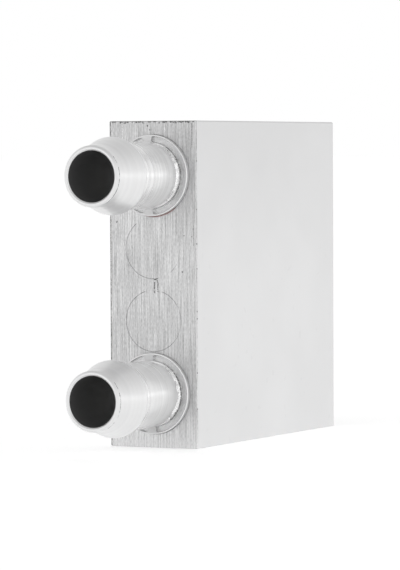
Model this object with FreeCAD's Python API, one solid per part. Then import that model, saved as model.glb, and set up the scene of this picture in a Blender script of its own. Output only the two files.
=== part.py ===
import FreeCAD, Part
import math
import os

# Liquid cooling block with two hose nozzles.
#
# The block is a length of extruded bar with four round channels side by side.
# Both ends of the channels are closed: the two outer channels take a hose nozzle
# at the front, and a press-in plug closes each of the other six mouths.
# Cutter pockets behind the plugs join neighbouring channels into one winding path.
#
# Frame, in millimetres: the block stands on a narrow side, with the origin at the
# centre of that side. +Z is up, across the channels. -Y is the way the nozzles
# point. +X and -X are the two broad heat contact faces.

# Block
BLOCK_DEPTH = 40.0          # along the channels
CHANNEL_COUNT = 4
CHANNEL_DIAMETER = 7.6
WEB_THICKNESS = 1.3         # between neighbouring channels
FACE_WALL = 2.2             # from a channel to a heat contact face
SIDE_WALL = 2.85            # from the outer channels to the narrow sides
CORNER_RADIUS = 0.2         # on the four long edges of the extruded bar
END_CHAMFER = 0.1           # round both sawn ends

# Plugs, pressed in and brushed flush
PLUG_LENGTH = 4.0
RIM_CHAMFER = 0.08          # on the outer rim, which leaves the hairline round a plug

# Pockets that join two channels, cut with a T-slot cutter through both mouths
POCKET_LAND = 0.6           # of full channel left between plug and pocket
POCKET_LENGTH = 5.5
CUTTER_CLEARANCE = 0.3      # radial, of the cutter in a channel
CUTTER_SHIFT = 1.65         # from the channel's axis towards the web

# Seats of the nozzle flanges
SEAT_DEPTH = 1.0
SEAT_TO_PLUG = 0.08         # metal left between a seat and the next channel
SEAT_CLEARANCE = 0.04       # radial, of the flange in its seat

# Nozzles: walls are measured out from the bore
SPIGOT_WALL = 0.7           # of the spigot that is pressed into the channel
SPIGOT_LENGTH = 5.0
SPIGOT_CHAMFER = 0.3
TIP_WALL = 0.6
RIDGE_WALL = 1.65
NECK_WALL = 1.0
NOZZLE_REACH = 16.0         # from the block's end to the nozzle's tip
TIP_LENGTH = 1.6            # of the straight tip, which then flares to the barb
RIDGE_REACH = 10.7          # from the block's end to the crest of the barb
RIDGE_BACK = 1.1            # length of the slope from the crest down to the neck
RIDGE_ROUND = 0.7           # on the crest
TIP_BEVEL = 0.4             # on the tip's outer edge, in two flats that follow a quarter round
TIP_CHAMFER = 0.15          # on the tip's inner edge
FLANGE_PROUD = 0.6          # of the block's end
FLANGE_CHAMFER = 0.1
UNDERCUT_DEPTH = 0.4        # where the neck meets the flange
UNDERCUT_SLOPE = 0.5        # length of the slope from the neck into the undercut
UNDERCUT_LENGTH = 0.85
BASE_CHAMFER = 0.3          # between the undercut and the flange

# Two C-shaped recesses that the staking tool leaves in each flange
RECESS_DEPTH = 0.45
RECESS_LAND = 0.05          # between the base chamfer and a recess
LIP_WIDTH = 0.23            # between a recess and the flange's rim
BRIDGE_HALF_ANGLE = 8.0     # of the metal left above and below, in degrees
INLET_LEANS = 6.0, 4.0      # of the upper and the lower bridge towards -X, in degrees
OUTLET_LEANS = 5.0, 0.0

# Sizes that follow
channel_radius = CHANNEL_DIAMETER / 2
channel_pitch = CHANNEL_DIAMETER + WEB_THICKNESS
block_thickness = CHANNEL_DIAMETER + 2 * FACE_WALL
block_height = CHANNEL_DIAMETER + (CHANNEL_COUNT - 1) * channel_pitch + 2 * SIDE_WALL
front_y = -BLOCK_DEPTH / 2
rear_y = BLOCK_DEPTH / 2
channel_heights = [SIDE_WALL + channel_radius + row * channel_pitch for row in range(CHANNEL_COUNT)]

seat_radius = channel_radius + WEB_THICKNESS - SEAT_TO_PLUG
flange_radius = seat_radius - SEAT_CLEARANCE
bore_radius = channel_radius - SPIGOT_WALL
neck_radius = bore_radius + NECK_WALL
undercut_radius = neck_radius - UNDERCUT_DEPTH
recess_inner_radius = undercut_radius + BASE_CHAMFER + RECESS_LAND
recess_outer_radius = flange_radius - LIP_WIDTH

ALONG = FreeCAD.Vector(0, 1, 0)


def rod(radius, height, start_y, length):
    """A cylinder along +Y, with its axis at the given height."""
    return Part.makeCylinder(radius, length, FreeCAD.Vector(0, start_y, height), ALONG)


def bar():
    """The extruded bar, with rounded long edges and chamfered ends."""
    corner = FreeCAD.Vector(-block_thickness / 2, front_y, 0)
    solid = Part.makeBox(block_thickness, BLOCK_DEPTH, block_height, corner)
    long_edges = [edge for edge in solid.Edges if abs(edge.BoundBox.YLength - BLOCK_DEPTH) < 1e-6]
    solid = solid.makeFillet(CORNER_RADIUS, long_edges)
    end_edges = [edge for edge in solid.Edges if edge.BoundBox.YLength < 1e-6]
    return solid.makeChamfer(END_CHAMFER, end_edges)


def pocket(lower_row, end_y, inward):
    """The two cutter plunges that open the web above a channel, behind its plug.

    inward is +1 at the front end of the block and -1 at the rear.
    """
    start_y = end_y + inward * (PLUG_LENGTH + POCKET_LAND)
    low_y = min(start_y, start_y + inward * POCKET_LENGTH)
    cutter_radius = channel_radius - CUTTER_CLEARANCE
    below = rod(cutter_radius, channel_heights[lower_row] + CUTTER_SHIFT, low_y, POCKET_LENGTH)
    above = rod(cutter_radius, channel_heights[lower_row + 1] - CUTTER_SHIFT, low_y, POCKET_LENGTH)
    return [below, above]


def block_body():
    """The bar with its channels, nozzle seats and pockets."""
    cuts = [rod(channel_radius, height, front_y, BLOCK_DEPTH) for height in channel_heights]
    for height in (channel_heights[0], channel_heights[-1]):
        cuts.append(rod(seat_radius, height, front_y, SEAT_DEPTH))
    for lower_row in range(CHANNEL_COUNT - 1):
        if lower_row % 2 == 0:
            cuts += pocket(lower_row, rear_y, -1)
        else:
            cuts += pocket(lower_row, front_y, 1)
    return bar().cut(cuts).removeSplitter()


def plug(height, end_y, inward):
    """A press-in plug whose outer face lies in the block's end, with a chamfered rim."""
    low_y = min(end_y, end_y + inward * PLUG_LENGTH)
    solid = rod(channel_radius, height, low_y, PLUG_LENGTH)
    rim = [edge for edge in solid.Edges if edge.Closed and abs(edge.BoundBox.YMin - end_y) < 1e-6]
    return solid.makeChamfer(RIM_CHAMFER, rim)


def rounded_wire(corners):
    """A closed wire through (reach, radius, rounding) corners, in the plane of a nozzle's axis."""
    points = [FreeCAD.Vector(radius, -reach, 0) for reach, radius, _ in corners]
    edges = []
    last_end = None
    first_start = None
    for index, (_, _, rounding) in enumerate(corners):
        corner = points[index]
        before = (points[index - 1] - corner).normalize()
        after = (points[(index + 1) % len(points)] - corner).normalize()
        start, end = corner, corner
        if rounding > 0:
            half_angle = before.getAngle(after) / 2
            start = corner + before * (rounding / math.tan(half_angle))
            end = corner + after * (rounding / math.tan(half_angle))
            inside = (before + after).normalize()
            middle = corner + inside * (rounding / math.sin(half_angle) - rounding)
        if last_end is None:
            first_start = start
        elif last_end.distanceToPoint(start) > 1e-7:
            edges.append(Part.LineSegment(last_end, start).toShape())
        if rounding > 0:
            edges.append(Part.Arc(start, middle, end).toShape())
        last_end = end
    edges.append(Part.LineSegment(last_end, first_start).toShape())
    return Part.Wire(edges)


def nozzle_profile():
    """Half the nozzle's section: reach is measured out from the block's end."""
    tip_radius = bore_radius + TIP_WALL
    bevel_middle = TIP_BEVEL * (1 - math.sqrt(0.5))
    ridge_radius = bore_radius + RIDGE_WALL
    neck_end = RIDGE_REACH - RIDGE_BACK
    undercut_end = FLANGE_PROUD + UNDERCUT_LENGTH
    spigot_end = -SEAT_DEPTH - SPIGOT_LENGTH
    corners = [
        (NOZZLE_REACH - TIP_CHAMFER, bore_radius, 0),
        (NOZZLE_REACH, bore_radius + TIP_CHAMFER, 0),
        (NOZZLE_REACH, tip_radius - TIP_BEVEL, 0),
        (NOZZLE_REACH - bevel_middle, tip_radius - bevel_middle, 0),
        (NOZZLE_REACH - TIP_BEVEL, tip_radius, 0),
        (NOZZLE_REACH - TIP_LENGTH, tip_radius, 0),
        (RIDGE_REACH, ridge_radius, RIDGE_ROUND),
        (neck_end, neck_radius, 0),
        (undercut_end + UNDERCUT_SLOPE, neck_radius, 0),
        (undercut_end, undercut_radius, 0),
        (FLANGE_PROUD + BASE_CHAMFER, undercut_radius, 0),
        (FLANGE_PROUD, undercut_radius + BASE_CHAMFER, 0),
        (FLANGE_PROUD, flange_radius - FLANGE_CHAMFER, 0),
        (FLANGE_PROUD - FLANGE_CHAMFER, flange_radius, 0),
        (-SEAT_DEPTH, flange_radius, 0),
        (-SEAT_DEPTH, channel_radius, 0),
        (spigot_end + SPIGOT_CHAMFER, channel_radius, 0),
        (spigot_end, channel_radius - SPIGOT_CHAMFER, 0),
        (spigot_end, bore_radius, 0),
    ]
    return Part.Face(rounded_wire(corners))


def recess(start, end):
    """One C-shaped recess with round ends, between two angles in degrees from +X towards +Z."""
    middle_radius = (recess_inner_radius + recess_outer_radius) / 2
    round_angle = (recess_outer_radius - recess_inner_radius) / 2 / middle_radius
    first = math.radians(start) + round_angle
    last = math.radians(end) - round_angle

    def at(radius, angle):
        return FreeCAD.Vector(radius * math.cos(angle), 0, radius * math.sin(angle))

    def arc(radius):
        return at(radius, first), at(radius, (first + last) / 2), at(radius, last)

    def end_round(angle, beyond):
        return at(recess_outer_radius, angle), at(middle_radius, beyond), at(recess_inner_radius, angle)

    ends = [end_round(first, first - round_angle), end_round(last, last + round_angle)]
    curves = [arc(recess_outer_radius), arc(recess_inner_radius)] + ends
    outline = Part.Wire(Part.__sortEdges__([Part.Arc(*curve).toShape() for curve in curves]))
    return Part.Face(outline).extrude(ALONG * RECESS_DEPTH)


def nozzle(height, leans):
    """A turned hose nozzle in its seat, with both staking recesses."""
    origin = FreeCAD.Vector(0, 0, 0)
    solid = nozzle_profile().revolve(origin, ALONG, 360)
    upper_bridge = 90 + leans[0]
    lower_bridge = 270 - leans[1]
    spans = [
        (lower_bridge - 360 + BRIDGE_HALF_ANGLE, upper_bridge - BRIDGE_HALF_ANGLE),
        (upper_bridge + BRIDGE_HALF_ANGLE, lower_bridge - BRIDGE_HALF_ANGLE),
    ]
    flange_face = FreeCAD.Vector(0, -FLANGE_PROUD, 0)
    recesses = [recess(*span).translated(flange_face) for span in spans]
    return solid.cut(recesses).translated(FreeCAD.Vector(0, front_y, height))


def build():
    """Every piece by name."""
    pieces = {
        "block_body": block_body(),
        "inlet_nozzle": nozzle(channel_heights[-1], INLET_LEANS),
        "outlet_nozzle": nozzle(channel_heights[0], OUTLET_LEANS),
    }
    for row, height in enumerate(channel_heights, start=1):
        pieces["rear_plug_%d" % row] = plug(height, rear_y, -1)
        if 1 < row < CHANNEL_COUNT:
            pieces["front_plug_%d" % row] = plug(height, front_y, 1)
    return pieces


def main():
    os.makedirs("parts", exist_ok=True)
    for name, shape in build().items():
        shape.exportStep("parts/%s.step" % name)
        box = shape.BoundBox
        extents = (box.XMin, box.XMax, box.YMin, box.YMax, box.ZMin, box.ZMax)
        size = " ".join("%.3f" % value for value in extents)
        print(name, "valid", shape.isValid(), "solids", len(shape.Solids), "volume %.1f" % shape.Volume, size)


main()
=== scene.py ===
"""Looks of the liquid cooling block: finishes, tool marks, light and camera.

Everything is in metres, in the frame of the solids: +Z up, -Y the way the nozzles point, and the origin
at the centre of the narrow side that the block stands on.
"""

import logging
import math
from dataclasses import dataclass, field
from enum import Enum, IntEnum
from typing import Iterable, Sequence

import bmesh
import bpy
from bmesh.types import BMesh, BMFace, BMVert
from bpy.types import Material, Mesh, Node, NodeSocket, NodeTree, Object
from mathutils import Matrix, Vector, noise


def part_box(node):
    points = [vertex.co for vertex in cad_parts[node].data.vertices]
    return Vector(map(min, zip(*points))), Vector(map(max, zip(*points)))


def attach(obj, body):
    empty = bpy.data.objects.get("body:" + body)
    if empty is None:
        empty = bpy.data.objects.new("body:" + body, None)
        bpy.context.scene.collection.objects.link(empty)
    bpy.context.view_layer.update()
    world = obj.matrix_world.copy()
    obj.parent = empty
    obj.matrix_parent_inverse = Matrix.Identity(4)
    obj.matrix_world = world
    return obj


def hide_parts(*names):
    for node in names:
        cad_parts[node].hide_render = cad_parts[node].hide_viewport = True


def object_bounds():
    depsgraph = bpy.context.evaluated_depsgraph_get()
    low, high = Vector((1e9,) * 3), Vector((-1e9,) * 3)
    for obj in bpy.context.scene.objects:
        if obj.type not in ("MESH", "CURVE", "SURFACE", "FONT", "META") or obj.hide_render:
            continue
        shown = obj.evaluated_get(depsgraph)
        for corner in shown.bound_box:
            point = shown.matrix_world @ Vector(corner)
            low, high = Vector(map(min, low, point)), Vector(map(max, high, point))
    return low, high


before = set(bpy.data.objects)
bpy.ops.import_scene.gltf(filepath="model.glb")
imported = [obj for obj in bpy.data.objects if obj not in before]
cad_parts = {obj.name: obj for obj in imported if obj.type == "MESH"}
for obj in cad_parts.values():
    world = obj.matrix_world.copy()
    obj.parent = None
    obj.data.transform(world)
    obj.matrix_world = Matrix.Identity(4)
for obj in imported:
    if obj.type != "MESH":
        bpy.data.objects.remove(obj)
CAD_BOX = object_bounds()

MM = 0.001
SAME_PLACE = 1e-9
FORWARD = Vector((0, -1, 0))
LOG = logging.getLogger("cooling_block")
Colour = tuple[float, float, float, float]


class Slot(Enum):
    """The record's material slots."""

    BAR = "bar_aluminium"
    TURNED = "turned_aluminium"
    BRUSHED = "brushed_aluminium"


class BlockSkin(IntEnum):
    """Places of the finishes on the bar and the plugs."""

    MATT = 0
    BRUSHED = 1
    BORE = 2
    TORN_AND_PAINTED_SHADE = 3
    SCORED = 4
    CURLED = 5


class NozzleSkin(IntEnum):
    """Places of the finishes on a nozzle."""

    TURNED = 0
    BORE = 1
    STAKED = 2
    FACED = 3
    NECK = 4


def grey(level: float, cool: float = 0.002) -> Colour:
    """An opaque grey with its blue raised by a touch, as bare aluminium has it."""
    return (level, level, level + cool, 1.0)


WHITE = grey(1.0, 0.0)


# ---------------------------------------------------------------- node building


class NodeSheet:
    """A node tree that is filled from left to right."""

    def __init__(self, tree: NodeTree) -> None:
        """Start on a material's, world's or group's tree."""
        self.tree = tree

    def add(self, kind: str, **settings: object) -> Node:
        """Add a node and set its fields.

        Args:
            kind: Blender's name of the node type.
            settings: fields of the node by name.

        Returns:
            The new node.
        """
        node = self.tree.nodes.new(kind)
        node.location = (200 * len(self.tree.nodes), 0)
        for name, value in settings.items():
            setattr(node, name, value)
        return node

    def feed(self, target: NodeSocket, value: object) -> None:
        """Link a socket to target, or set target's own value.

        Args:
            target: the input socket.
            value: an output socket, or a plain value.
        """
        if isinstance(value, NodeSocket):
            self.tree.links.new(value, target)
        else:
            target.default_value = value

    def math(self, operation: str, *values: object, clamp: bool = False) -> NodeSocket:
        """One arithmetic step.

        Args:
            operation: Blender's name of the operation.
            values: the operands, sockets or numbers.
            clamp: keep the result between 0 and 1.

        Returns:
            The result's socket.
        """
        node = self.add("ShaderNodeMath", operation=operation, use_clamp=clamp)
        for index, value in enumerate(values):
            self.feed(node.inputs[index], value)
        return node.outputs[0]

    def remap(self, value: object, span: Sequence[object],
              result: Sequence[float] = (0.0, 1.0)) -> NodeSocket:
        """Map one span on to another, clamped.

        Args:
            value: the socket to map.
            span: start and end of the incoming span.
            result: what the start and the end become.

        Returns:
            The mapped socket.
        """
        node = self.add("ShaderNodeMapRange")
        for index, item in enumerate((value, *span, *result)):
            self.feed(node.inputs[index], item)
        return node.outputs[0]

    def tint(self, factor: object, first: object, second: object) -> NodeSocket:
        """Mix two colours.

        Args:
            factor: share of the second colour.
            first: the colour at factor 0.
            second: the colour at factor 1.

        Returns:
            The mixed colour's socket.
        """
        node = self.add("ShaderNodeMix", data_type="RGBA")
        self.feed(node.inputs[0], factor)
        self.feed(node.inputs[6], first)
        self.feed(node.inputs[7], second)
        return node.outputs[2]

    def cloud(self, vector: object, detail: float, roughness: float = 0.5) -> NodeSocket:
        """A noise value at a scaled place.

        Args:
            vector: the scaled coordinates.
            detail: number of finer layers.
            roughness: strength of the finer layers.

        Returns:
            The noise's value socket, around 0.5.
        """
        node = self.add("ShaderNodeTexNoise")
        self.feed(node.inputs["Vector"], vector)
        node.inputs["Scale"].default_value = 1.0
        node.inputs["Detail"].default_value = detail
        node.inputs["Roughness"].default_value = roughness
        return node.outputs[0]

    def along(self, axis: str, coordinates: str = "Object") -> NodeSocket:
        """One coordinate of the shaded place.

        Args:
            axis: X, Y or Z.
            coordinates: output of the coordinates node.

        Returns:
            The coordinate's socket.
        """
        parts = self.add("ShaderNodeSeparateXYZ")
        self.feed(parts.inputs[0], self.add("ShaderNodeTexCoord").outputs[coordinates])
        return parts.outputs[axis]


def new_group(name: str, inputs: dict[str, float], outputs: Sequence[str]) -> tuple[NodeSheet, dict, dict]:
    """Start a shared shader group with float sockets.

    Args:
        name: the group's name.
        inputs: default value of each input.
        outputs: names of the outputs.

    Returns:
        The sheet, the input sockets by name, and the output node's sockets by name.
    """
    tree = bpy.data.node_groups.new(name, "ShaderNodeTree")
    for socket_name, value in inputs.items():
        socket = tree.interface.new_socket(name=socket_name, in_out="INPUT", socket_type="NodeSocketFloat")
        socket.default_value = value
    for socket_name in outputs:
        tree.interface.new_socket(name=socket_name, in_out="OUTPUT", socket_type="NodeSocketFloat")
    sheet = NodeSheet(tree)
    entry = sheet.add("NodeGroupInput")
    leave = sheet.add("NodeGroupOutput")
    return sheet, {s.name: s for s in entry.outputs if s.name}, {s.name: s for s in leave.inputs if s.name}


@dataclass(frozen=True)
class SharedEffects:
    """Shader groups that several finishes use."""

    brushing: NodeTree
    turning: NodeTree
    blasting: NodeTree
    inward: NodeTree
    upward: NodeTree

    @classmethod
    def build(cls) -> "SharedEffects":
        """Build each group once."""
        return cls(cls._brushing(), cls._turning(), cls._blasting(), cls._inward(), cls._upward())

    @staticmethod
    def _scaled_place(sheet: NodeSheet, sizes: Sequence[object]) -> NodeSocket:
        """The object's own coordinates divided by a feature size along each axis.

        Args:
            sheet: the group's sheet.
            sizes: the feature size along X, Y and Z, sockets or numbers.

        Returns:
            The scaled place's socket.
        """
        place = sheet.add("ShaderNodeTexCoord").outputs["Object"]
        divisor = sheet.add("ShaderNodeCombineXYZ")
        for index, size in enumerate(sizes):
            sheet.feed(divisor.inputs[index], size)
        divide = sheet.add("ShaderNodeVectorMath", operation="DIVIDE")
        sheet.feed(divide.inputs[0], place)
        sheet.feed(divide.inputs[1], divisor.outputs[0])
        return divide.outputs[0]

    @classmethod
    def _brushing(cls) -> NodeTree:
        """Upright belt-brushing lines: their width is across X and their length along Z.

        Returns:
            The group's tree.
        """
        inputs = {"Width": 0.1 * MM, "Length": 4 * MM}
        sheet, given, put = new_group("brushing_lines", inputs, ("Shade", "Height"))
        band_width, band_length, dash_length = 3.1, 3.0, 0.09
        line_weight, band_weight, dash_weight = 0.53, 0.13, 0.34
        detail, roughness, contrast = 2.0, 0.6, (0.37, 0.63)
        wide = sheet.math("MULTIPLY", given["Width"], band_width)
        long = sheet.math("MULTIPLY", given["Length"], band_length)
        short = sheet.math("MULTIPLY", given["Length"], dash_length)
        fine_place = cls._scaled_place(sheet, (given["Width"], 1.0, given["Length"]))
        fine_lines = sheet.cloud(fine_place, detail, roughness)
        bands = sheet.cloud(cls._scaled_place(sheet, (wide, 1.0, long)), detail)
        dashes = sheet.cloud(cls._scaled_place(sheet, (given["Width"], 1.0, short)), detail, roughness)
        mixed = sheet.math("MULTIPLY", fine_lines, line_weight)
        for layer, weight in ((bands, band_weight), (dashes, dash_weight)):
            mixed = sheet.math("MULTIPLY_ADD", layer, weight, mixed)
        sheet.feed(put["Shade"], sheet.remap(mixed, contrast))
        sheet.feed(put["Height"], fine_lines)
        return sheet.tree

    @classmethod
    def _turning(cls) -> NodeTree:
        """Rings left by a lathe tool round an axis along Y.

        Returns:
            The group's tree.
        """
        inputs = {"Pitch": 0.12 * MM}
        sheet, given, put = new_group("lathe_rings", inputs, ("Shade", "Height"))
        fine_reach, broad_reach, broad_pitch = 90 * MM, 40 * MM, 2.6
        fine_weight, broad_weight, contrast = 0.7, 0.3, (0.3, 0.7)
        broad = sheet.math("MULTIPLY", given["Pitch"], broad_pitch)
        fine_rings = sheet.cloud(cls._scaled_place(sheet, (fine_reach, given["Pitch"], fine_reach)), 0.0)
        broad_rings = sheet.cloud(cls._scaled_place(sheet, (broad_reach, broad, broad_reach)), 0.0)
        fine_part = sheet.math("MULTIPLY", fine_rings, fine_weight)
        mixed = sheet.math("ADD", fine_part, sheet.math("MULTIPLY", broad_rings, broad_weight))
        sheet.feed(put["Shade"], sheet.remap(mixed, contrast))
        sheet.feed(put["Height"], mixed)
        return sheet.tree

    @classmethod
    def _blasting(cls) -> NodeTree:
        """Fine even grain of a matt face, with slow drifts of tone and a few dull specks.

        Returns:
            The group's tree.
        """
        inputs = {"Grain": 0.12 * MM, "Drift": 14 * MM}
        sheet, given, put = new_group("matt_grain", inputs, ("Grain", "Drift", "Specks"))
        speck_spacing, speck_level = 0.9 * MM, (0.76, 0.82)
        grain = sheet.cloud(cls._scaled_place(sheet, (given["Grain"],) * 3), 2.0)
        drift = sheet.cloud(cls._scaled_place(sheet, (given["Drift"],) * 3), 2.0)
        specks = sheet.cloud(cls._scaled_place(sheet, (speck_spacing,) * 3), 0.0)
        sheet.feed(put["Grain"], grain)
        sheet.feed(put["Drift"], drift)
        sheet.feed(put["Specks"], sheet.remap(specks, speck_level))
        return sheet.tree

    @classmethod
    def _inward(cls) -> NodeTree:
        """Share of the way from a start along +Y, rising slowly at first and fast at the end.

        Returns:
            The group's tree.
        """
        sheet, given, put = new_group("inward_share", {"Start": 0.0, "Reach": 10 * MM}, ("Share",))
        slow_start = 2.2
        gone = sheet.math("SUBTRACT", sheet.along("Y"), given["Start"])
        way = sheet.math("DIVIDE", gone, given["Reach"], clamp=True)
        sheet.feed(put["Share"], sheet.math("POWER", way, slow_start))
        return sheet.tree

    @classmethod
    def _upward(cls) -> NodeTree:
        """Share of the way up from one height to another.

        Returns:
            The group's tree.
        """
        sheet, given, put = new_group("upward_share", {"From": 0.0, "To": 40 * MM}, ("Share",))
        sheet.feed(put["Share"], sheet.remap(sheet.along("Z"), (given["From"], given["To"])))
        return sheet.tree


# ---------------------------------------------------------------- finishes


def new_material(name: str) -> tuple[NodeSheet, Material, Node]:
    """Start a material with one Principled shader.

    Args:
        name: the finish's name.

    Returns:
        The sheet, the material and the shader node.
    """
    material = bpy.data.materials.new(name)
    material.use_nodes = True
    material.node_tree.nodes.clear()
    sheet = NodeSheet(material.node_tree)
    shader = sheet.add("ShaderNodeBsdfPrincipled")
    output = sheet.add("ShaderNodeOutputMaterial")
    sheet.feed(output.inputs["Surface"], shader.outputs[0])
    return sheet, material, shader


def use_group(sheet: NodeSheet, tree: NodeTree, **inputs: float) -> dict[str, NodeSocket]:
    """Place a shared group in a material.

    Args:
        sheet: the material's sheet.
        tree: the group.
        inputs: its own values by socket name.

    Returns:
        The group's output sockets by name.
    """
    node = sheet.add("ShaderNodeGroup", node_tree=tree)
    for name, value in inputs.items():
        sheet.feed(node.inputs[name], value)
    return {socket.name: socket for socket in node.outputs}


@dataclass(frozen=True)
class Finish:
    """A material whose colour, gloss and relief follow a pattern."""

    effects: SharedEffects
    name: str
    dark: Colour
    light: Colour
    roughness: tuple[float, float] = (0.5, 0.7)
    metallic: float = 0.0
    relief: float = 0.0
    relief_strength: float = 0.6
    specular: float = 0.5
    gloss_span: tuple[float, float] = (0.3, 0.7)

    def pattern(self, sheet: NodeSheet) -> tuple[NodeSocket, NodeSocket, NodeSocket]:
        """Sockets of the colour, the gloss and the height."""
        raise NotImplementedError

    def material(self) -> Material:
        """Build the material.

        Returns:
            The material.
        """
        sheet, material, shader = new_material(self.name)
        colour, gloss, height = self.pattern(sheet)
        sheet.feed(shader.inputs["Base Color"], colour)
        sheet.feed(shader.inputs["Roughness"], sheet.remap(gloss, self.gloss_span, self.roughness))
        shader.inputs["Metallic"].default_value = self.metallic
        shader.inputs["Specular IOR Level"].default_value = self.specular
        if self.relief > 0:
            bump = sheet.add("ShaderNodeBump")
            bump.inputs["Distance"].default_value = self.relief
            bump.inputs["Strength"].default_value = self.relief_strength
            sheet.feed(bump.inputs["Height"], height)
            sheet.feed(shader.inputs["Normal"], bump.outputs[0])
        return material


@dataclass(frozen=True)
class BrushedAluminium(Finish):
    """Belt-brushed metal of the sawn ends and of the plugs in them, with painted light that brightens it at
    the foot.
    """

    name: str = "brushed_aluminium"
    dark: Colour = grey(0.37)
    light: Colour = grey(0.795)
    roughness: tuple[float, float] = (0.52, 0.40)
    metallic: float = 1.0
    relief: float = 0.006 * MM
    relief_strength: float = 0.5
    gloss_span: tuple[float, float] = (0.0, 1.0)
    line_width: float = 0.085 * MM
    line_length: float = 5.0 * MM
    painted_light_foot_height: float = 4.5 * MM
    painted_light_foot_gain: float = 0.38
    drift_gain: float = 0.4

    def pattern(self, sheet: NodeSheet) -> tuple[NodeSocket, NodeSocket, NodeSocket]:
        """Upright lines that drift in tone, with painted light that fades them to bright at the foot.

        Args:
            sheet: the material's sheet.

        Returns:
            The sockets of the colour, the gloss and the height.
        """
        lines = use_group(sheet, self.effects.brushing, Width=self.line_width, Length=self.line_length)
        drift = sheet.math("SUBTRACT", use_group(sheet, self.effects.blasting)["Drift"], 0.5)
        rise = use_group(sheet, self.effects.upward, To=self.painted_light_foot_height)["Share"]
        drifted = sheet.math("MULTIPLY_ADD", drift, self.drift_gain, lines["Shade"])
        foot = sheet.math("SUBTRACT", 1.0, rise)
        # Painted light: the ends are brightened towards their foot.
        tone = sheet.math("MULTIPLY_ADD", foot, self.painted_light_foot_gain, drifted, clamp=True)
        return sheet.tint(tone, self.dark, self.light), lines["Shade"], lines["Height"]


@dataclass(frozen=True)
class MattAluminium(Finish):
    """Even, fine-grained skin of the broad and narrow faces of the bar, with painted shade that darkens it
    towards the top.
    """

    name: str = "matt_aluminium"
    dark: Colour = grey(0.78)
    light: Colour = grey(0.855)
    roughness: tuple[float, float] = (0.58, 0.68)
    metallic: float = 0.75
    relief: float = 0.003 * MM
    relief_strength: float = 0.4
    painted_shade_from: float = 16.0 * MM
    painted_shade_to: float = 44.0 * MM
    drift_span: tuple[float, float] = (0.35, 0.65)
    drift_gain: float = 0.35
    speck_gain: float = 0.35

    def pattern(self, sheet: NodeSheet) -> tuple[NodeSocket, NodeSocket, NodeSocket]:
        """Slow drifts and a few specks on a fine grain, with painted shade that darkens it towards the top.

        Args:
            sheet: the material's sheet.

        Returns:
            The sockets of the colour, the gloss and the height.
        """
        skin = use_group(sheet, self.effects.blasting)
        rise = use_group(sheet, self.effects.upward, From=self.painted_shade_from, To=self.painted_shade_to)["Share"]
        drift = sheet.remap(skin["Drift"], self.drift_span, (0.0, self.drift_gain))
        # Painted shade: the broad and narrow faces darken towards the top.
        drifted = sheet.tint(sheet.math("ADD", drift, rise, clamp=True), self.light, self.dark)
        specks = sheet.math("MULTIPLY", skin["Specks"], self.speck_gain)
        return sheet.tint(specks, drifted, self.dark), skin["Grain"], skin["Grain"]


@dataclass(frozen=True)
class TurnedAluminium(Finish):
    """Bright lathe-turned metal of the nozzles."""

    name: str = "turned_aluminium"
    dark: Colour = grey(0.84)
    light: Colour = grey(0.89)
    roughness: tuple[float, float] = (0.36, 0.28)
    metallic: float = 0.6
    relief: float = 0.003 * MM
    gloss_span: tuple[float, float] = (0.0, 1.0)
    pitch: float = 0.55 * MM

    def pattern(self, sheet: NodeSheet) -> tuple[NodeSocket, NodeSocket, NodeSocket]:
        """Rings round the axis."""
        rings = use_group(sheet, self.effects.turning, Pitch=self.pitch)
        return sheet.tint(rings["Shade"], self.dark, self.light), rings["Shade"], rings["Height"]


@dataclass(frozen=True)
class ShadedBore(Finish):
    """Skin of the wet channels, with painted shade: near-black at the mouth and paler deeper in."""

    name: str = "painted_shade_bore"
    dark: Colour = grey(0.10, 0.0)
    light: Colour = grey(0.92, 0.0)
    roughness: tuple[float, float] = (0.85, 0.95)
    specular: float = 0.0
    mouth_y: float = CAD_BOX[0].y
    reach: float = 12.4 * MM

    def pattern(self, sheet: NodeSheet) -> tuple[NodeSocket, NodeSocket, NodeSocket]:
        """Paler by the way in from the mouth; the near-black at the mouth is painted shade.

        Args:
            sheet: the material's sheet.

        Returns:
            The sockets of the colour, the gloss and the height.
        """
        grain = use_group(sheet, self.effects.blasting)["Grain"]
        depth = use_group(sheet, self.effects.inward, Start=self.mouth_y, Reach=self.reach)
        return sheet.tint(depth["Share"], self.dark, self.light), grain, grain


@dataclass(frozen=True)
class GrainedSkin(Finish):
    """Rough skin whose colour follows a grain, as on torn, scored, curled and staked metal."""

    metallic: float = 0.9
    grain: float = 0.16 * MM
    contrast: tuple[float, float] = (0.42, 0.62)

    def pattern(self, sheet: NodeSheet) -> tuple[NodeSocket, NodeSocket, NodeSocket]:
        """The grain in all three."""
        grain = use_group(sheet, self.effects.blasting, Grain=self.grain)["Grain"]
        return sheet.tint(sheet.remap(grain, self.contrast), self.dark, self.light), grain, grain


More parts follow.
